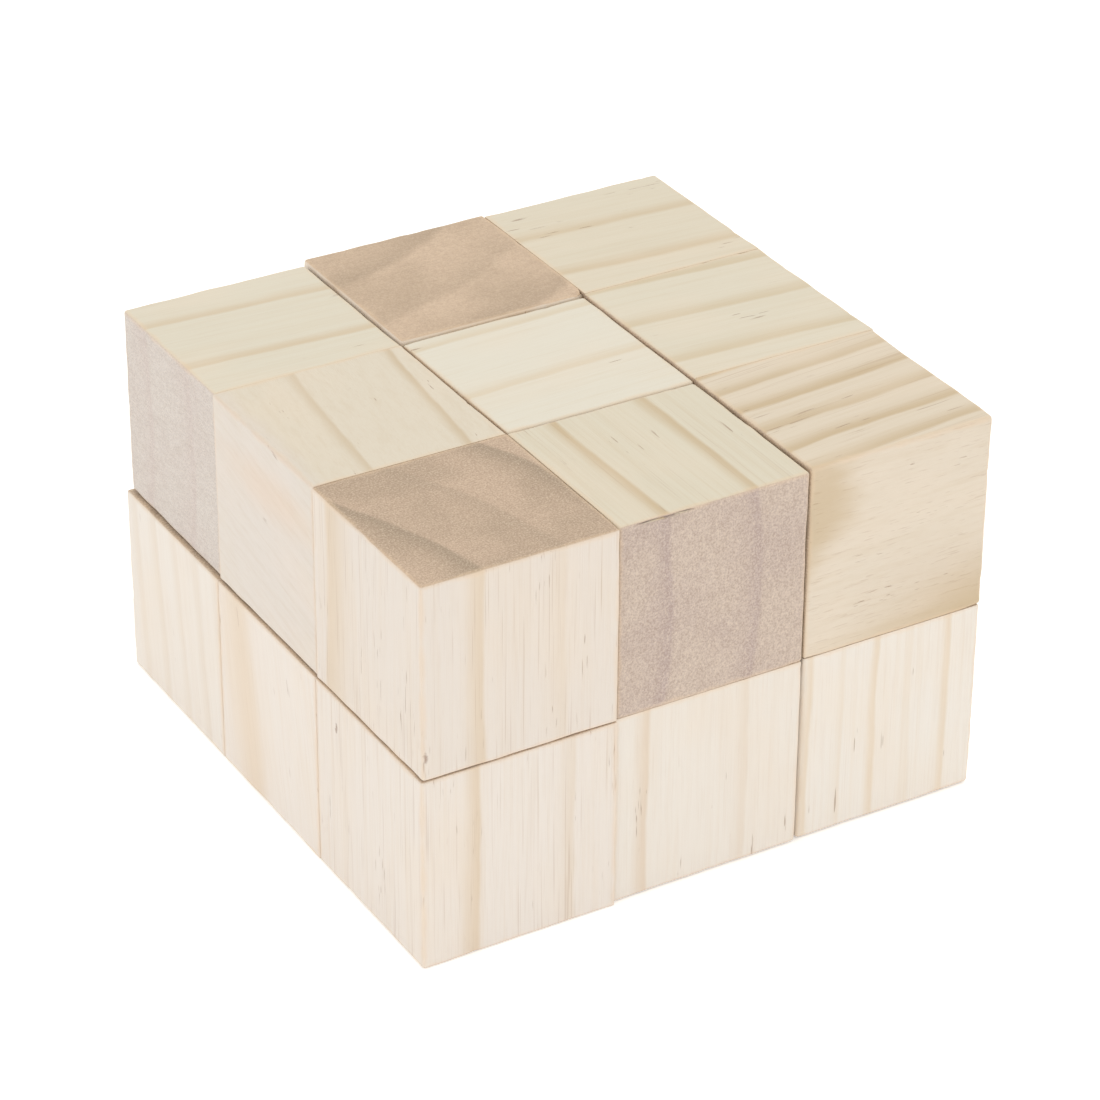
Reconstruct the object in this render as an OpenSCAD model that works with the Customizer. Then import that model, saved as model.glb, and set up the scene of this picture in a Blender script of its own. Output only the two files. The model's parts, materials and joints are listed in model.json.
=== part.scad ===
// Block puzzle of eighteen plain softwood cubes. The cubes are glued edge to edge
// into five loose pieces, four L shapes and one upright bar, and the pieces stack
// into a flat square block, three cubes by three cubes and two layers high.
//
// Frame: +Z is up, the front is -Y and the left is -X. The origin is under the
// middle of the block, on the surface that it stands on.

/* [Cubes] */
// Edge length of one cube
cube_edge = 25; // [15:0.5:40]
// Radius sanded onto every edge of a cube
edge_radius = 0.45; // [0.1:0.05:2]

/* [Fit] */
// Play between two neighbouring loose pieces
play = 0.2; // [0.05:0.05:1]

/* [Hidden] */
$fn = 48;

// Cubes along one side of the block, and layers of cubes
side_count = 3;
layer_count = 2;

// Width of the whole block: two gaps lie between its left and right faces
block_width = side_count * cube_edge + 2 * play;

// How far each set of pieces lies from the block's front left corner. The centre
// bar stands one gap away from the left pieces, and the right pieces two gaps.
left_offset = 0;
centre_offset = play;
right_offset = 2 * play;

// Layers, columns from left to right, and rows from front to back
lower = 0;
upper = 1;
left = 0;
middle = 1;
right = 2;
front = 0;
centre = 1;
back = 2;

// Wood colours, by what shows on top and on the sides of a cube
pale_wood = [0.90, 0.85, 0.74];
cream_wood = [0.88, 0.84, 0.70];
striped_wood = [0.86, 0.79, 0.64];
tan_end_grain = [0.77, 0.67, 0.55];
grey_end_grain = [0.80, 0.73, 0.66];

// ---------------------------------------------------------------- building blocks

// Square with round corners, drawn about its own middle
module eased_square() {
    straight = cube_edge - 2 * edge_radius;
    square([cube_edge, straight], center = true);
    square([straight, cube_edge], center = true);
    for (x = [-1, 1], y = [-1, 1])
        translate([x * straight / 2, y * straight / 2])
            circle(r = edge_radius);
}

// Long bar with that section, along Z and about the origin
module eased_bar() {
    linear_extrude(height = 2 * cube_edge, center = true)
        eased_square();
}

// One cube with all twelve edges rounded, about its own middle: what three
// crossing bars have in common
module eased_cube() {
    intersection() {
        eased_bar();
        rotate([90, 0, 0])
            eased_bar();
        rotate([0, 90, 0])
            eased_bar();
    }
}

// A cube in its cell of the block. The offset is that of the piece it is glued to.
module cube_in_cell(column, row, layer, offset) {
    first = cube_edge / 2 - block_width / 2 + offset;
    translate([
        first + column * cube_edge,
        first + row * cube_edge,
        cube_edge / 2 + layer * cube_edge
    ])
        eased_cube();
}

// ---------------------------------------------------------------- lower left L

module lower_front_left_cube() {
    color(pale_wood)
        cube_in_cell(left, front, lower, left_offset);
}

module lower_front_middle_cube() {
    color(pale_wood)
        cube_in_cell(middle, front, lower, left_offset);
}

module lower_left_middle_cube() {
    color(pale_wood)
        cube_in_cell(left, centre, lower, left_offset);
}

module lower_back_left_cube() {
    color(cream_wood)
        cube_in_cell(left, back, lower, left_offset);
}

// ---------------------------------------------------------------- lower right L

module lower_front_right_cube() {
    color(pale_wood)
        cube_in_cell(right, front, lower, right_offset);
}

module lower_right_middle_cube() {
    color(cream_wood)
        cube_in_cell(right, centre, lower, right_offset);
}

module lower_back_right_cube() {
    color(pale_wood)
        cube_in_cell(right, back, lower, right_offset);
}

module lower_back_middle_cube() {
    color(cream_wood)
        cube_in_cell(middle, back, lower, right_offset);
}

// ---------------------------------------------------------------- upper left L

module upper_front_left_cube() {
    color(tan_end_grain)
        cube_in_cell(left, front, upper, left_offset);
}

module upper_front_middle_cube() {
    color(grey_end_grain)
        cube_in_cell(middle, front, upper, left_offset);
}

module upper_left_middle_cube() {
    color(cream_wood)
        cube_in_cell(left, centre, upper, left_offset);
}

module upper_back_left_cube() {
    color(cream_wood)
        cube_in_cell(left, back, upper, left_offset);
}

// ---------------------------------------------------------------- upper right L

module upper_front_right_cube() {
    color(striped_wood)
        cube_in_cell(right, front, upper, right_offset);
}

module upper_right_middle_cube() {
    color(striped_wood)
        cube_in_cell(right, centre, upper, right_offset);
}

module upper_back_right_cube() {
    color(striped_wood)
        cube_in_cell(right, back, upper, right_offset);
}

module upper_back_middle_cube() {
    color(tan_end_grain)
        cube_in_cell(middle, back, upper, right_offset);
}

// ---------------------------------------------------------------- centre bar

module lower_centre_cube() {
    color(pale_wood)
        cube_in_cell(middle, centre, lower, centre_offset);
}

module upper_centre_cube() {
    color(cream_wood)
        cube_in_cell(middle, centre, upper, centre_offset);
}

// ---------------------------------------------------------------- assembly

lower_front_left_cube();
lower_front_middle_cube();
lower_front_right_cube();
lower_left_middle_cube();
lower_centre_cube();
lower_right_middle_cube();
lower_back_left_cube();
lower_back_middle_cube();
lower_back_right_cube();
upper_front_left_cube();
upper_front_middle_cube();
upper_front_right_cube();
upper_left_middle_cube();
upper_centre_cube();
upper_right_middle_cube();
upper_back_left_cube();
upper_back_middle_cube();
upper_back_right_cube();
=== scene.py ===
import json
import math
from dataclasses import dataclass, field

import bpy
import numpy as np
from mathutils import Matrix, Vector, noise


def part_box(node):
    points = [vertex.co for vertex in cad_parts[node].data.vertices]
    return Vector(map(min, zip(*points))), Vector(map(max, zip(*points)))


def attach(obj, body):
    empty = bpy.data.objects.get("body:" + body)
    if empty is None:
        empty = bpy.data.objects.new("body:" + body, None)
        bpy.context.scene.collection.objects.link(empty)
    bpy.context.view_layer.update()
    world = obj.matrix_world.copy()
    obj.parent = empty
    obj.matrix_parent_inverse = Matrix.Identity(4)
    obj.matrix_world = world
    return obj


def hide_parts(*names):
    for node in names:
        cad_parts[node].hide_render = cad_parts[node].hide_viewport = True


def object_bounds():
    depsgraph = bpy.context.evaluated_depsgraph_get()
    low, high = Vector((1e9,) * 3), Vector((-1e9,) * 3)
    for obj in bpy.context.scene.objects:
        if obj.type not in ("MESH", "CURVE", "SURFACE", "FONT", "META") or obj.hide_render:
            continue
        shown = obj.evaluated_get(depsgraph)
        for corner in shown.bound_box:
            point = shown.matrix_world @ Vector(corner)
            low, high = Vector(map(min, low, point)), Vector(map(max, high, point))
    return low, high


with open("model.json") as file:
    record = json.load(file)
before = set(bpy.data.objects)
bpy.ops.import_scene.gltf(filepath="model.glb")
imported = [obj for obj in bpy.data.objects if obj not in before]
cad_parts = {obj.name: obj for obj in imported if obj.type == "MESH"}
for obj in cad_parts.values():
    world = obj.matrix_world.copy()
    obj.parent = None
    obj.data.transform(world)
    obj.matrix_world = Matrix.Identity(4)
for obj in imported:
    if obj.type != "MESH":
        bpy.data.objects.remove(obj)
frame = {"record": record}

CAD_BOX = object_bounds()
MM = 0.001
BLOCK_MIDDLE = (CAD_BOX[0] + CAD_BOX[1]) / 2

# Directions of a cube's faces: axis number and side.
LEFT = (0, -1)
RIGHT = (0, 1)
FRONT = (1, -1)
BACK = (1, 1)
BELOW = (2, -1)
ABOVE = (2, 1)
FACES = (LEFT, RIGHT, FRONT, BACK, BELOW, ABOVE)

# ---------------------------------------------------------------- the cubes

# Edge radii in millimetres: an edge sanded on the finished piece, and one closed up by glue.
SANDED = 0.4
GLUED = 0.1
# How bright a white sheet lying on the block would look, with 1 as white.
LIGHT_LEVEL = 1.15


def edge(first, second):
    """The edge where two of a cube's faces meet."""
    return frozenset((first, second))


@dataclass
class Chip:
    """A broken spot: place and size along each axis, and depth, in millimetres."""

    place: tuple
    size: tuple
    depth: float


@dataclass
class Patch:
    """A soft stain: place and reach along each axis in millimetres, and its tint.

    The tint multiplies the red, green and blue of the wood under it.
    """

    place: tuple
    reach: tuple
    tint: tuple


@dataclass
class Cube:
    """How one cube was sawn and sanded. Lengths are in millimetres, places from its centre.

    The cross-section of the grain has two axes: X and Y for upright grain, Y and Z for grain
    along X, and Z and X for grain along Y. `outward` is the direction in degrees, in those axes,
    from the heart of the tree to its bark, and `heart` is how far away the heart is. `ring` is
    the ring spacing. `line` is where one ring is darkest: its distance from the heart, less
    `heart`. `years` is how strong that ring and its neighbours are, by turns. `band` is how wide
    a ring's dark part is and `stop` how soon it ends outside. `slant` is how far the fibres lean
    along each cross-section axis for each millimetre of grain. `flecks` is how many resin canals
    show and `grit` how speckled the end grain is. Colours are as lit, 0 to 255. `inset` says how
    far a face lies inside the nominal cube, or outside it where negative, and `ease` gives an
    edge its own radius. `knot` is the middle of a dark resin spot, which stays unseen inside the
    cube where none is given.
    """

    grain: str
    outward: float
    ring: float
    line: float
    heart: float = 75.0
    years: tuple = (0.8, 0.8)
    band: float = 2.4
    stop: float = 0.6
    slant: tuple = (0.0, 0.0)
    flecks: float = 0.15
    grit: float = 1.0
    early: tuple = (240, 230, 217)
    late: tuple = (230, 211, 189)
    end: tuple = (206, 185, 162)
    end_ring: tuple = (183, 164, 144)
    inset: dict = field(default_factory=dict)
    ease: dict = field(default_factory=dict)
    chips: tuple = ()
    patches: tuple = ()
    knot: tuple = (0.0, 0.0, 0.0)


CUBES = {
    "upper_front_left": Cube(
        "Z", 19, 10.1, -7.9, heart=85, years=(0.95, 0.4), band=3.6, flecks=1.0, grit=0.8,
        early=(233, 222, 210), late=(225, 206, 182), end=(212, 186, 162), end_ring=(173, 153, 130),
        knot=(-12.0, -12.5, -9.4),
        inset={LEFT: 0.15, BELOW: 0.04, ABOVE: 0.2, BACK: 0.06},
        ease={
            edge(RIGHT, FRONT): 0.25, edge(FRONT, BELOW): 0.4, edge(LEFT, BELOW): 0.5,
            edge(LEFT, BACK): 0.35,
        },
    ),
    "upper_front_middle": Cube(
        "Y", 90, 11.6, -5.4, years=(1.0, 0.9), band=2.2, flecks=0.6, grit=0.75,
        early=(226, 217, 197), late=(207, 185, 150), end=(213, 194, 178), end_ring=(195, 175, 166),
        inset={FRONT: 0.45, ABOVE: 0.2, LEFT: 0.12},
        ease={
            edge(LEFT, FRONT): 0.4, edge(FRONT, BELOW): 0.12, edge(RIGHT, FRONT): 0.6,
            edge(RIGHT, BACK): 0.8,
        },
        chips=(
            Chip((-8.2, -12.3, 12.1), (1.3, 0.6, 0.07), 0.9),
            Chip((-6.0, -12.3, 12.0), (1.1, 0.6, 0.07), 0.9),
            Chip((-4.2, -12.3, 12.1), (0.9, 0.5, 0.07), 0.7),
        ),
    ),
    "upper_front_right": Cube(
        "X", 189, 4.9, -8.6, heart=45.5, years=(0.82, 0.95), band=3.1, slant=(-0.085, 0.0),
        flecks=0.8, early=(229, 215, 195), late=(207, 184, 149),
        inset={FRONT: 0.3, RIGHT: 0.25, LEFT: -0.15},
        ease={
            edge(LEFT, ABOVE): 0.45, edge(LEFT, FRONT): 0.45, edge(RIGHT, FRONT): 0.7,
            edge(RIGHT, BELOW): 0.9, edge(FRONT, BELOW): 0.12,
        },
        patches=(Patch((6.0, -12.0, -7.0), (16.0, 3.0, 8.0), (0.96, 0.94, 0.92)),),
    ),
    "upper_left_middle": Cube(
        "Y", 90, 12.2, -2.2, years=(0.8, 1.0), band=1.7, stop=0.5, slant=(-0.2, -0.08),
        early=(229, 218, 200), late=(213, 194, 166),
        inset={LEFT: 0.3, BELOW: 0.15, ABOVE: 0.2, BACK: 0.06},
        ease={edge(LEFT, BACK): 0.35, edge(LEFT, FRONT): 0.4},
        patches=(
            Patch((-12.3, 0.0, 0.0), (3.0, 40.0, 40.0), (0.99, 1.0, 1.08)),
            Patch((-12.3, -2.0, 6.0), (3.0, 18.0, 4.5), (1.03, 0.96, 0.9)),
        ),
    ),
    "upper_centre": Cube(
        "X", 180, 12.5, -9.1, years=(0.9, 0.9), slant=(-0.03, 0.0),
        early=(233, 226, 211), late=(225, 210, 185),
        inset={ABOVE: 0.25, LEFT: 0.05, BACK: 0.05},
    ),
    "upper_right_middle": Cube(
        "X", 180, 9.6, -0.4, years=(0.9, 1.0), band=3.4, slant=(0.055, 0.0),
        early=(228, 219, 200), late=(216, 199, 169),
        inset={LEFT: -0.1},
        ease={edge(RIGHT, BACK): 0.6},
    ),
    "upper_back_left": Cube(
        "X", 180, 11.6, -4.8, years=(0.9, 1.0), slant=(0.05, 0.0), grit=0.6,
        early=(228, 220, 202), late=(219, 201, 173), end=(224, 215, 206), end_ring=(219, 206, 198),
        inset={LEFT: 0.6, BELOW: 0.15, BACK: 0.5, ABOVE: 0.3},
        ease={edge(LEFT, FRONT): 0.4},
    ),
    "upper_back_middle": Cube(
        "Z", -66, 10.3, -7.7, years=(0.7, 0.4), band=5.5, stop=1.4, grit=0.4,
        early=(237, 226, 211), late=(226, 204, 178), end=(222, 196, 170), end_ring=(186, 163, 138),
        inset={LEFT: -0.15, FRONT: -0.08},
        ease={edge(RIGHT, BACK): 0.7},
        chips=(Chip((12.3, -12.3, 12.5), (0.9, 0.7, 0.9), 0.5),),
    ),
    "upper_back_right": Cube(
        "X", 180, 10.5, -2.3, years=(0.85, 1.0), band=3.0, stop=0.9, slant=(0.06, 0.0),
        early=(227, 217, 197), late=(214, 195, 164),
        inset={BACK: 0.45},
    ),
    "lower_front_left": Cube(
        "Z", 4, 12.6, -5.6, heart=90, years=(0.85, 0.4), band=3.2, flecks=0.8,
        early=(237, 227, 216), late=(224, 203, 176), knot=(-12.5, 7.5, 8.5),
        ease={edge(LEFT, BACK): 0.25},
    ),
    "lower_front_middle": Cube(
        "Z", -5, 13.2, -6.2, heart=90, years=(0.9, 0.45),
        early=(238, 229, 217), late=(228, 209, 187),
        inset={FRONT: 0.5, BELOW: 0.15, RIGHT: 0.05},
        ease={edge(FRONT, ABOVE): 0.12, edge(RIGHT, FRONT): 0.25},
    ),
    "lower_front_right": Cube(
        "Z", 3, 4.8, -1.5, heart=80, years=(0.75, 0.3), band=1.6, stop=0.5,
        early=(240, 232, 221), late=(230, 210, 183),
        inset={FRONT: 0.3, RIGHT: 0.5, BELOW: 0.15, LEFT: -0.12},
        ease={edge(LEFT, FRONT): 0.7, edge(FRONT, ABOVE): 0.12},
    ),
    "lower_left_middle": Cube(
        "Z", -92, 24.0, -4.2, heart=80, years=(0.9, 0.2), band=8.0, stop=5.0, slant=(0.0, -0.15),
        early=(239, 229, 218), late=(232, 213, 190),
        inset={BACK: 0.08, FRONT: 0.05},
        ease={edge(LEFT, BACK): 0.3, edge(LEFT, FRONT): 0.25},
    ),
    "lower_back_left": Cube(
        "Z", -88, 5.5, -3.0, heart=80, years=(0.7, 0.6), stop=1.0, slant=(0.0, -0.1),
        early=(239, 230, 219), late=(231, 217, 200),
        ease={edge(LEFT, FRONT): 0.3},
    ),
    "lower_centre": Cube("Z", 40, 6.0, 0.0, heart=60),
    "lower_right_middle": Cube("Z", 75, 7.0, 2.0),
    "lower_back_middle": Cube("Z", 20, 8.0, -3.0, heart=90),
    "lower_back_right": Cube("Z", -30, 5.5, 1.0, heart=70),
}

# The two cross-section axes and then the grain axis, for each grain direction.
TIMBER_AXES = {"X": (1, 2, 0), "Y": (2, 0, 1), "Z": (0, 1, 2)}

# ---------------------------------------------------------------- cube meshes

# Distances of the mesh lines from an edge, in millimetres, and how many cells fill the middle.
EDGE_LINES = (0.0, 0.04, 0.09, 0.15, 0.22, 0.31, 0.42, 0.56, 0.75, 1.05, 1.5)
MIDDLE_CELLS = 34
# How far an edge's radius is felt along its neighbours, in millimetres.
EDGE_REACH = 1.1
# Uneven sanding: the share by which a radius varies, and depths in millimetres.
RADIUS_SPREAD = 0.45
WAVE_DEPTH = 0.03
DENT_DEPTH = 0.22
# Dents are where their noise passes this value, this close to an edge in millimetres.
DENT_START = 0.38
DENT_REACH = 0.8
# How often each noise changes, per millimetre.
RADIUS_NOISE = 0.3
WAVE_NOISE = 0.14
DENT_NOISE = 0.55
# A weight too small to matter, which keeps a sum above zero.
TINY = 1e-9


def lattice(count):
    """Lattice indices of the points on a cube's surface, each once, and the quads between them."""
    last = count - 1
    step = np.arange(count)
    grids = []
    quads = []
    base = 0
    numbers = np.arange(count * count).reshape(count, count)
    for axis in range(3):
        for side in (0, last):
            u, v = np.meshgrid(step, step, indexing="ij")
            grid = np.empty((count, count, 3), int)
            grid[..., axis] = side
            grid[..., (axis + 1) % 3] = u
            grid[..., (axis + 2) % 3] = v
            grids.append(grid.reshape(-1, 3))
            loop = [numbers[:-1, :-1], numbers[1:, :-1], numbers[1:, 1:], numbers[:-1, 1:]]
            if side == 0:
                loop.reverse()
            quads.append(np.stack(loop, -1).reshape(-1, 4) + base)
            base += count * count
    points, weld = np.unique(np.concatenate(grids), axis=0, return_inverse=True)
    return points, weld.reshape(-1)[np.concatenate(quads)]


def mesh_lines(half):
    """Places of the mesh lines across one side of a cube, close together near its edges."""
    near = np.array(EDGE_LINES)
    middle = np.linspace(-half + near[-1], half - near[-1], MIDDLE_CELLS + 1)[1:-1]
    return np.concatenate([-half + near, middle, half - near[::-1]])


def edge_radius(points, half, cube, glued, seed):
    """The sanding radius wanted at each point: each edge's own, blended by closeness, uneven."""
    close = {}
    for axis, side in FACES:
        close[axis, side] = np.exp(-(half[axis] - side * points[:, axis]) / EDGE_REACH)
    total = np.zeros(len(points))
    weight = np.full(len(points), TINY)
    for number, first in enumerate(FACES):
        for second in FACES[number + 1:]:
            if first[0] != second[0]:
                closeness = close[first] * close[second]
                usual = GLUED if first in glued or second in glued else SANDED
                total += closeness * cube.ease.get(edge(first, second), usual)
                weight += closeness
    uneven = np.array([noise.noise(Vector(p * RADIUS_NOISE) + seed) for p in points])
    return total / weight * (1 + RADIUS_SPREAD * uneven)


def cube_mesh(name, size, cube, glued, seed):
    """A sanded wooden cube: rounded uneven edges, faces that aren't dead flat, and its chips."""
    half = size / 2
    points, quads = LATTICE
    lines = np.stack([mesh_lines(h) for h in half], -1)
    p = np.stack([lines[points[:, axis], axis] for axis in range(3)], -1)
    radius = np.minimum(edge_radius(p, half, cube, glued, seed), EDGE_LINES[-1])[:, None]
    core = np.clip(p, -(half - radius), half - radius)
    outward = p - core
    outward /= np.linalg.norm(outward, axis=1)[:, None]
    p = core + outward * radius
    wave = np.array([noise.noise(Vector(q * WAVE_NOISE) - seed) for q in p])
    dent = np.array([noise.noise(Vector(q * DENT_NOISE) + seed * 2) for q in p])
    from_edge = np.sort(half - np.abs(p), axis=1)[:, 1]
    near_edge = np.exp(-(from_edge / DENT_REACH) ** 2)
    sink = WAVE_DEPTH * (0.5 + 0.5 * wave)
    sink = sink + DENT_DEPTH * near_edge * np.clip(dent - DENT_START, 0, None)
    for chip in cube.chips:
        away = (p - np.array(chip.place)) / np.array(chip.size)
        sink += chip.depth * np.exp(-(away ** 2).sum(1))
    p = p - outward * sink[:, None]
    mesh = bpy.data.meshes.new(name)
    mesh.from_pydata((p * MM).tolist(), [], quads.tolist())
    mesh.validate()
    mesh.shade_smooth()
    return mesh


# ---------------------------------------------------------------- node helpers


class Graph:
    """Adds nodes to a node tree. A value is a number, vector, colour or another node's socket."""

    def __init__(self, tree):
        self.tree = tree

    def feed(self, socket, value):
        if isinstance(value, bpy.types.NodeSocket):
            self.tree.links.new(value, socket)
        else:
            socket.default_value = value

    def add(self, kind, inputs=None, **settings):
        node = self.tree.nodes.new(kind)
        for name, value in settings.items():
            setattr(node, name, value)
        for key, value in (inputs or {}).items():
            self.feed(node.inputs[key], value)
        return node

    def math(self, operation, *values):
        return self.add("ShaderNodeMath", dict(enumerate(values)), operation=operation).outputs[0]

    def vector(self, operation, *values):
        node = self.add("ShaderNodeVectorMath", dict(enumerate(values)), operation=operation)
        return node.outputs["Value" if operation == "LENGTH" else "Vector"]

    def join(self, x, y, z):
        return self.add("ShaderNodeCombineXYZ", {0: x, 1: y, 2: z}).outputs[0]

    def split(self, vector):
        return self.add("ShaderNodeSeparateXYZ", {0: vector}).outputs

    def smooth(self, value, start, end, low=0.0, high=1.0):
        """Goes smoothly from low at start to high at end."""
        inputs = {"Value": value, "From Min": start, "From Max": end, "To Min": low, "To Max": high}
        return self.add("ShaderNodeMapRange", inputs, interpolation_type="SMOOTHSTEP").outputs[0]

    def noise(self, vector, scale, detail=2.0, roughness=0.5):
        inputs = {"Vector": vector, "Scale": scale, "Detail": detail, "Roughness": roughness}
        return self.add("ShaderNodeTexNoise", inputs).outputs[0]

    def mix(self, factor, first, second, blend="MIX"):
        inputs = {0: factor, 6: first, 7: second}
        node = self.add("ShaderNodeMix", inputs, data_type="RGBA", blend_type=blend)
        return node.outputs[2]


def swatch(colour):
    """The linear colour that the light level turns into the given one, which is 0 to 255 as lit."""
    linear = []
    for part in colour:
        value = part / 255
        # The sRGB curve.
        linear.append(value / 12.92 if value <= 0.04045 else ((value + 0.055) / 1.055) ** 2.4)
    return tuple(value / LIGHT_LEVEL for value in linear) + (1.0,)


# ---------------------------------------------------------------- pine


# Colours of the wood's details, as lit, 0 to 255.
WARM_CLOUD = (240, 222, 200)
FIBRE_LINE = (205, 176, 146)
RESIN_STREAK = (176, 142, 112)
RESIN_CANAL = (160, 124, 98)
RESIN_KNOT = (150, 118, 98)
PALE_SPECK = (234, 214, 190)
DARK_SPECK = (150, 122, 104)
PORES = (160, 134, 116)
# A warm colour painted on the edges: partly a real sanding burnish, partly a painted glow standing
# in for light bounced between the cubes.
BURNISH_AND_EDGE_GLOW = (238, 208, 174)

# How often each noise changes, per millimetre: across the grain, and along it.
RING_WANDERS = (0.08, 0.04)
RING_RIPPLES = (0.5, 0.16)
CLOUDS = (0.11, 0.05)
FINE_FIBRES = (6.5, 0.16)
BROAD_FIBRES = (1.3, 0.035)
STREAKS = (4.8, 0.06)
CANALS = (4.2, 0.26)
CANAL_CLUSTERS = (0.5, 0.1)
# The same for the end grain, where only the saw's marks have a direction.
SAW_MARKS = (0.35, 3.2, 0.35)
SPECKS = 4.6
PORE_CLUSTERS = 1.3

# How far the rings stray from circles, in millimetres.
RING_WANDER = 1.6
RING_RIPPLE = 0.55

PINE_INPUTS = {
    "Place": "Vector", "Heart": "Vector", "Slant": "Vector", "Years": "Vector", "Ring": "Float",
    "Phase": "Float", "Band": "Float", "Stop": "Float", "Flecks": "Float", "Grit": "Float",
    "Seed": "Float", "End": "Float", "Edge": "Float", "Knot": "Float",
    "Early": "Color", "Late": "Color", "End early": "Color", "End late": "Color",
}
PINE_OUTPUTS = {"Colour": "Color", "Roughness": "Float", "Height": "Float"}


def stretched(g, fibre, across, lengthwise):
    """A place for a noise that runs with the fibres."""
    return g.vector("MULTIPLY", fibre, (across, across, lengthwise))


def growth_rings(g, given, straight, fibre):
    """How dark the rings are at each point: on the long faces, and more broadly on the ends."""
    flat = g.vector("SUBTRACT", straight, given["Heart"])
    distance = g.vector("LENGTH", g.vector("MULTIPLY", flat, (1.0, 1.0, 0.0)))
    wander = g.math("SUBTRACT", g.noise(stretched(g, fibre, *RING_WANDERS), 1.0, 1.0), 0.5)
    ripple = g.math("SUBTRACT", g.noise(stretched(g, fibre, *RING_RIPPLES), 1.0, 2.0), 0.5)
    distance = g.math("MULTIPLY_ADD", wander, RING_WANDER, distance)
    distance = g.math("MULTIPLY_ADD", ripple, RING_RIPPLE, distance)
    growth = g.math("ADD", g.math("DIVIDE", distance, given["Ring"]), given["Phase"])
    to_bark = g.math("MULTIPLY", g.math("SUBTRACT", 1.0, g.math("FRACT", growth)), given["Ring"])

    # Rings are stronger and weaker by turns.
    odd = g.math("MULTIPLY", g.math("FRACT", g.math("MULTIPLY", g.math("FLOOR", growth), 0.5)), 2.0)
    by_turns = g.split(given["Years"])
    step = g.math("SUBTRACT", by_turns[0], by_turns[1])
    strength = g.math("MULTIPLY_ADD", odd, step, by_turns[1])

    # Outwards, each ring darkens slowly and then ends soon.
    band = given["Band"]
    stop = given["Stop"]
    rise = g.math("POWER", g.smooth(to_bark, g.math("ADD", band, stop), stop), 1.6)
    fall = g.smooth(to_bark, 0.0, stop)
    late = g.math("MULTIPLY", g.math("MULTIPLY", rise, fall), strength)
    wide_rise = g.smooth(to_bark, g.math("MULTIPLY_ADD", band, 1.8, stop), stop)
    wide_fall = g.smooth(to_bark, 0.0, g.math("ADD", stop, 0.3))
    wide = g.math("MULTIPLY", g.math("MULTIPLY", wide_rise, wide_fall), strength)
    return late, g.math("MULTIPLY_ADD", wide, 0.5, g.math("MULTIPLY", late, 0.5))


def resin(g, given, fibre):
    """Sparse resin canals in clusters, and thin resin streaks."""
    bare = g.smooth(given["Flecks"], 0.0, 1.0, 0.72, 0.52)
    clusters = g.smooth(g.noise(stretched(g, fibre, *CANAL_CLUSTERS), 1.0, 0.0), bare, 0.75)
    canal = g.smooth(g.noise(stretched(g, fibre, *CANALS), 1.0, 1.0), 0.67, 0.73)
    lines = g.noise(stretched(g, fibre, *STREAKS), 1.0, 1.0)
    streak = g.smooth(lines, 0.62, 0.74, high=given["Flecks"])
    return g.math("MULTIPLY", canal, clusters), streak


def end_grain(g, given, late_end, cloud, grit, pore, saw):
    """The colour of the ends: darker, with the cut fibres as specks and the saw's marks across."""
    pale = g.math("MULTIPLY", g.smooth(grit, 0.5, 0.68, high=0.62), given["Grit"])
    dark = g.math("MULTIPLY", g.smooth(grit, 0.54, 0.36, high=0.46), given["Grit"])
    end = g.mix(late_end, given["End early"], given["End late"])
    end = g.mix(g.smooth(cloud, 0.35, 0.7, high=0.45), end, given["End late"])
    end = g.mix(pale, end, swatch(PALE_SPECK))
    end = g.mix(dark, end, swatch(DARK_SPECK))
    end = g.mix(g.smooth(pore, 0.6, 0.4, high=0.1), end, swatch(PORES))
    return g.mix(g.smooth(saw, 0.55, 0.3, high=0.1), end, swatch(PORES))


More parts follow.
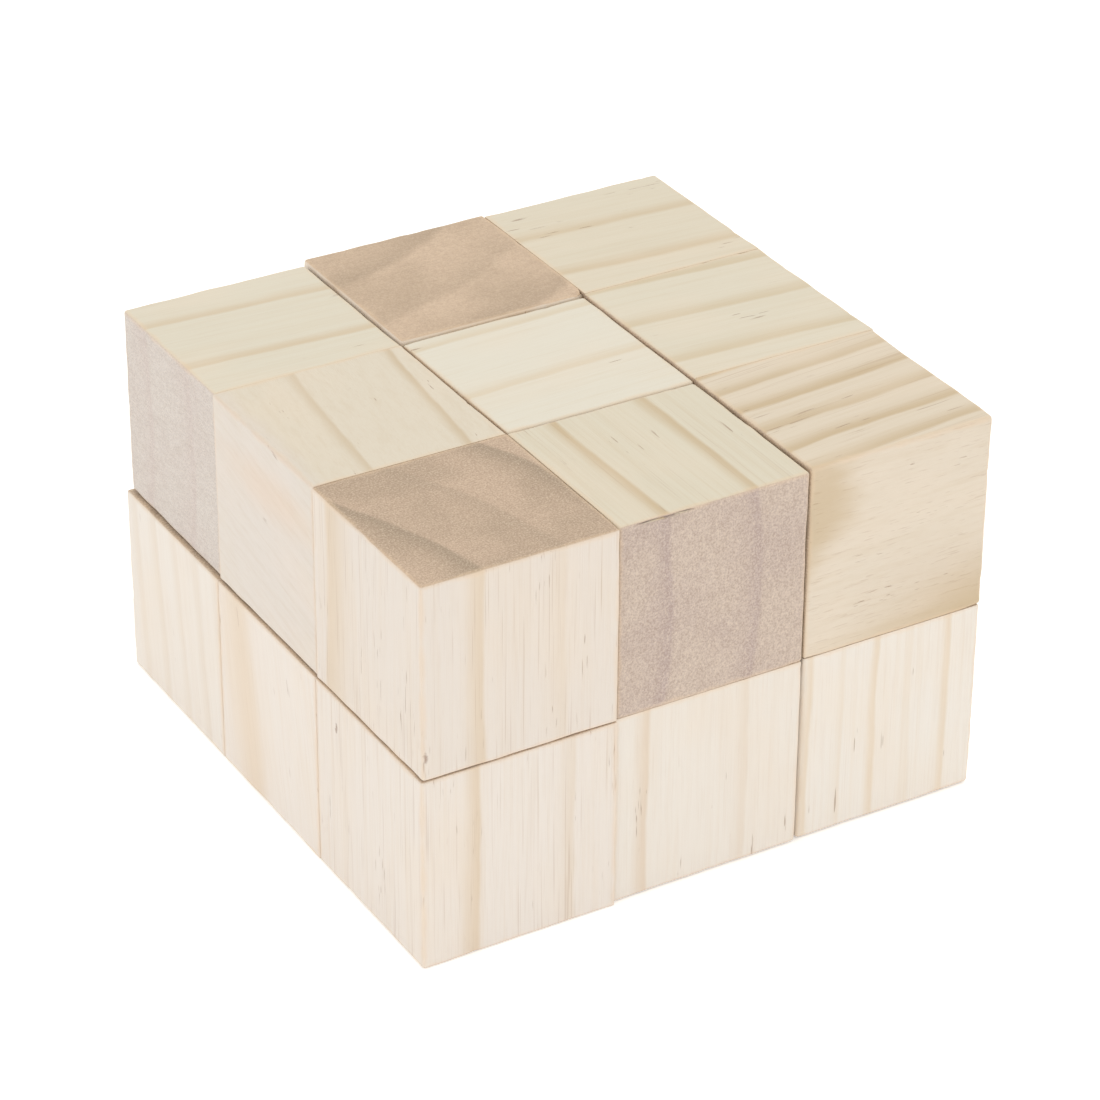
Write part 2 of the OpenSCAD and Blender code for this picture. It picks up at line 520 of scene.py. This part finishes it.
def pine_group():
    """The node group shared by every cube: pine timber, by place in millimetres."""
    tree = bpy.data.node_groups.new("sawn_pine", "ShaderNodeTree")
    for name, kind in PINE_INPUTS.items():
        tree.interface.new_socket(name, in_out="INPUT", socket_type="NodeSocket" + kind)
    for name, kind in PINE_OUTPUTS.items():
        tree.interface.new_socket(name, in_out="OUTPUT", socket_type="NodeSocket" + kind)
    g = Graph(tree)
    given = g.add("NodeGroupInput").outputs
    place = given["Place"]
    seed = given["Seed"]

    # Straighten the leaning fibres, and give each cube its own part of every noise.
    along = g.split(place)[2]
    lean = g.vector("MULTIPLY", given["Slant"], g.join(along, along, 0.0))
    straight = g.vector("ADD", place, lean)
    shift = g.join(seed, g.math("MULTIPLY", seed, 0.37), g.math("MULTIPLY", seed, 0.71))
    fibre = g.vector("ADD", straight, shift)

    late, late_end = growth_rings(g, given, straight, fibre)
    canal, streak = resin(g, given, fibre)
    fine = g.noise(stretched(g, fibre, *FINE_FIBRES), 1.0, 2.0, 0.6)
    broad = g.noise(stretched(g, fibre, *BROAD_FIBRES), 1.0, 2.0, 0.6)
    cloud = g.noise(stretched(g, fibre, *CLOUDS), 1.0, 2.0)

    # The long faces.
    colour = g.mix(late, given["Early"], given["Late"])
    colour = g.mix(g.smooth(cloud, 0.4, 0.75, high=0.3), colour, swatch(WARM_CLOUD))
    colour = g.mix(g.smooth(broad, 0.4, 0.8, high=0.22), colour, given["Late"])
    colour = g.mix(g.smooth(fine, 0.45, 0.8, high=0.12), colour, swatch(FIBRE_LINE))
    colour = g.mix(g.math("MULTIPLY", streak, 0.3), colour, swatch(RESIN_STREAK))
    colour = g.mix(g.math("MULTIPLY", canal, 0.6), colour, swatch(RESIN_CANAL))

    # The ends.
    grit = g.noise(place, SPECKS, 2.0, 0.7)
    pore = g.noise(g.vector("ADD", place, shift), PORE_CLUSTERS, 2.0, 0.6)
    saw = g.noise(g.vector("MULTIPLY", fibre, SAW_MARKS), 1.0, 2.0)
    colour = g.mix(given["End"], colour, end_grain(g, given, late_end, cloud, grit, pore, saw))

    colour = g.mix(g.math("MULTIPLY", given["Knot"], 0.75), colour, swatch(RESIN_KNOT))

    # Sanded edges are painted a little warmer: partly a real burnish from sanding, partly a painted
    # glow standing in for light bounced between the cubes.
    colour = g.mix(g.math("MULTIPLY", given["Edge"], 0.36), colour, swatch(BURNISH_AND_EDGE_GLOW))

    # Dark rings and edges are smoother, ends are rougher.
    roughness = g.math("MULTIPLY_ADD", fine, 0.16, 0.52)
    roughness = g.math("MULTIPLY_ADD", late, -0.08, roughness)
    roughness = g.math("MULTIPLY_ADD", given["End"], 0.12, roughness)
    roughness = g.math("MULTIPLY_ADD", given["Edge"], -0.06, roughness)

    # Heights in millimetres.
    side_height = g.math("MULTIPLY_ADD", fine, 0.03, g.math("MULTIPLY", late, 0.02))
    side_height = g.math("MULTIPLY_ADD", canal, -0.05, side_height)
    end_height = g.math("MULTIPLY_ADD", grit, 0.06, g.math("MULTIPLY", saw, 0.03))
    heights = {0: given["End"], 2: side_height, 3: end_height}
    height = g.add("ShaderNodeMix", heights).outputs[0]

    g.add("NodeGroupOutput", {"Colour": colour, "Roughness": roughness, "Height": height})
    return tree


def edge_mask(g, place, half, seed):
    """1 on a cube's edges, fading to 0 within about 0.7 mm, unevenly."""
    inside = g.vector("SUBTRACT", half, g.vector("ABSOLUTE", place))
    x, y, z = g.split(inside)
    # The middle one of the three distances is the one from the nearest edge.
    lesser = g.math("MINIMUM", x, y)
    greater = g.math("MAXIMUM", x, y)
    from_edge = g.math("MAXIMUM", lesser, g.math("MINIMUM", greater, z))
    patchy = g.noise(g.vector("ADD", place, (seed, seed, seed)), 0.35, 2.0)
    return g.smooth(g.math("MULTIPLY_ADD", patchy, -0.9, from_edge), -0.42, 0.25, 1.0, 0.0)


def knot_mask(g, place, knot):
    """A small dark resin spot, longer along the upright grain."""
    away = g.vector("MULTIPLY", g.vector("SUBTRACT", place, knot), (2.2, 2.2, 0.85))
    ragged = g.math("MULTIPLY_ADD", g.noise(place, 1.6, 2.0), 1.4, g.vector("LENGTH", away))
    return g.smooth(ragged, 0.9, 1.5, 1.0, 0.0)


def stain(g, colour, place, patch):
    """The colour with a ragged, soft-edged patch of it tinted."""
    away = g.vector("DIVIDE", g.vector("SUBTRACT", place, patch.place), patch.reach)
    ragged = g.math("MULTIPLY_ADD", g.noise(place, 0.25, 2.0), 0.5, g.vector("LENGTH", away))
    return g.mix(g.smooth(ragged, 1.25, 0.35), colour, (*patch.tint, 1.0), "MULTIPLY")


def pine_material(name, cube, size, seed):
    """Pine for one cube, in the cube's own object coordinates."""
    material = bpy.data.materials.new(name)
    material.use_nodes = True
    material.node_tree.nodes.clear()
    g = Graph(material.node_tree)
    axes = TIMBER_AXES[cube.grain]
    coordinates = g.add("ShaderNodeTexCoord").outputs
    place = g.vector("MULTIPLY", coordinates["Object"], (1 / MM, 1 / MM, 1 / MM))
    parts = g.split(place)
    timber_place = g.join(*(parts[a] for a in axes))
    facing = g.split(g.vector("ABSOLUTE", coordinates["Normal"]))[axes[2]]
    angle = math.radians(cube.outward)
    heart = (-cube.heart * math.cos(angle), -cube.heart * math.sin(angle), 0.0)
    pine = g.add("ShaderNodeGroup", node_tree=PINE)
    values = {
        "Place": timber_place, "Heart": heart, "Slant": (*cube.slant, 0.0),
        "Years": (*cube.years, 0.0), "Ring": cube.ring, "Band": cube.band, "Stop": cube.stop,
        "Phase": -(cube.heart + cube.line + cube.stop) / cube.ring,
        "Flecks": cube.flecks, "Grit": cube.grit, "Seed": seed,
        "Knot": knot_mask(g, place, cube.knot),
        "End": g.smooth(facing, 0.55, 0.9), "Edge": edge_mask(g, place, size / 2, seed),
        "Early": swatch(cube.early), "Late": swatch(cube.late),
        "End early": swatch(cube.end), "End late": swatch(cube.end_ring),
    }
    for socket, value in values.items():
        g.feed(pine.inputs[socket], value)
    colour = pine.outputs["Colour"]
    for patch in cube.patches:
        colour = stain(g, colour, place, patch)
    relief = {"Height": pine.outputs["Height"], "Distance": MM, "Strength": 0.7}
    bump = g.add("ShaderNodeBump", relief)
    shader = g.add("ShaderNodeBsdfPrincipled", {
        "Base Color": colour, "Roughness": pine.outputs["Roughness"],
        "Normal": bump.outputs[0], "IOR": 1.45,
    })
    g.add("ShaderNodeOutputMaterial", {"Surface": shader.outputs[0]})
    return material


# ---------------------------------------------------------------- the block

# Each cube's seed is this much more than the last one's, and moves its noises along all axes.
SEED_STEP = 7.3
SEED_SPREAD = (1.7, 0.9, 0.4)
# How far from exactly one cube's width apart the middles of two neighbours may be, in widths.
NEIGHBOUR_SLACK = 0.1


def glued_faces(node, body):
    """The faces that are glued to another cube of the same piece."""
    found = []
    middle = sum(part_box(node), Vector()) / 2
    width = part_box(node)[1].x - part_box(node)[0].x
    for other in BODIES[body]:
        apart = (sum(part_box(other), Vector()) / 2 - middle) / width
        for axis, side in FACES:
            beside = abs(apart[axis] - side) < NEIGHBOUR_SLACK
            if beside and apart.length < 1 + NEIGHBOUR_SLACK:
                found.append((axis, side))
    return found


def build_cube(name, body, seed):
    """Puts the finished cube in place of its CAD node."""
    cube = CUBES[name]
    node = name + "_cube"
    low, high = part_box(node)
    for (axis, side), depth in cube.inset.items():
        if side < 0:
            low[axis] += depth * MM
        else:
            high[axis] -= depth * MM
    size = np.array(high - low) / MM
    mesh_seed = Vector([seed * part for part in SEED_SPREAD])
    mesh = cube_mesh(name + "_timber", size, cube, glued_faces(node, body), mesh_seed)
    mesh.materials.append(pine_material(name + "_pine", cube, size, seed))
    piece = bpy.data.objects.new(name + "_timber", mesh)
    bpy.context.scene.collection.objects.link(piece)
    piece.location = (low + high) / 2
    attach(piece, body)
    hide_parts(node)


LATTICE = lattice(2 * len(EDGE_LINES) + MIDDLE_CELLS - 1)
PINE = pine_group()
BODIES = frame["record"]["behaviour"]["bodies"]
BODY_OF = {node: body for body, nodes in BODIES.items() for node in nodes}
for number, cube_name in enumerate(CUBES):
    build_cube(cube_name, BODY_OF[cube_name + "_cube"], SEED_STEP * (number + 1))

# ---------------------------------------------------------------- studio

# Angles in degrees, the camera's distance in metres and its focal length in millimetres.
AZIMUTH = -30.5
ELEVATION = 30.4
ROLL = 0.35
DISTANCE = 0.490
LENS = 134.2
# The camera looks just in front of the block's middle.
LOOK_AT = BLOCK_MIDDLE + Vector((-0.0001, -0.0012, 0.0))
FLOOR_SIZE = 8.0
FLOOR_GLOW = 0.25
# Colours of the light from the sides and from above.
WALLS = (0.935, 0.97, 1.13, 1.0)
CEILING = (1.185, 1.165, 1.055, 1.0)


def add_camera():
    azimuth = math.radians(AZIMUTH)
    elevation = math.radians(ELEVATION)
    level = math.cos(elevation)
    back = Vector((math.sin(azimuth) * level, -math.cos(azimuth) * level, math.sin(elevation)))
    data = bpy.data.cameras.new("camera")
    data.lens = LENS
    data.sensor_width = 36.0
    data.clip_start = 0.01
    data.clip_end = 50.0
    camera = bpy.data.objects.new("camera", data)
    turn = (-back).to_track_quat("-Z", "Y").to_matrix() @ Matrix.Rotation(math.radians(ROLL), 3, "Z")
    camera.matrix_world = Matrix.Translation(LOOK_AT + back * DISTANCE) @ turn.to_4x4()
    bpy.context.scene.collection.objects.link(camera)
    bpy.context.scene.camera = camera


def add_floor():
    """A white table lit softly from below, so that it stays white right up to the block."""
    mesh = bpy.data.meshes.new("floor")
    half = FLOOR_SIZE / 2
    corners = [(-half, -half, 0), (half, -half, 0), (half, half, 0), (-half, half, 0)]
    mesh.from_pydata(corners, [], [(0, 1, 2, 3)])
    floor = bpy.data.objects.new("floor", mesh)
    floor.location.z = CAD_BOX[0].z
    material = bpy.data.materials.new("white_floor")
    material.use_nodes = True
    shader = material.node_tree.nodes["Principled BSDF"]
    shader.inputs["Base Color"].default_value = (0.95, 0.95, 0.95, 1.0)
    shader.inputs["Roughness"].default_value = 0.9
    shader.inputs["Specular IOR Level"].default_value = 0.1
    shader.inputs["Emission Color"].default_value = (1.0, 1.0, 1.0, 1.0)
    shader.inputs["Emission Strength"].default_value = FLOOR_GLOW
    mesh.materials.append(material)
    bpy.context.scene.collection.objects.link(floor)


def add_light():
    """A white light tent: walls a little dimmer and cooler than the ceiling."""
    world = bpy.data.worlds.new("studio")
    world.use_nodes = True
    g = Graph(world.node_tree)
    height = g.split(g.add("ShaderNodeTexCoord").outputs["Generated"])[2]
    tent = g.mix(g.smooth(height, 0.0, 0.9), WALLS, CEILING)
    g.feed(world.node_tree.nodes["Background"].inputs["Color"], tent)
    bpy.context.scene.world = world
    bpy.context.scene.view_settings.view_transform = "Standard"


add_camera()
add_floor()
add_light()
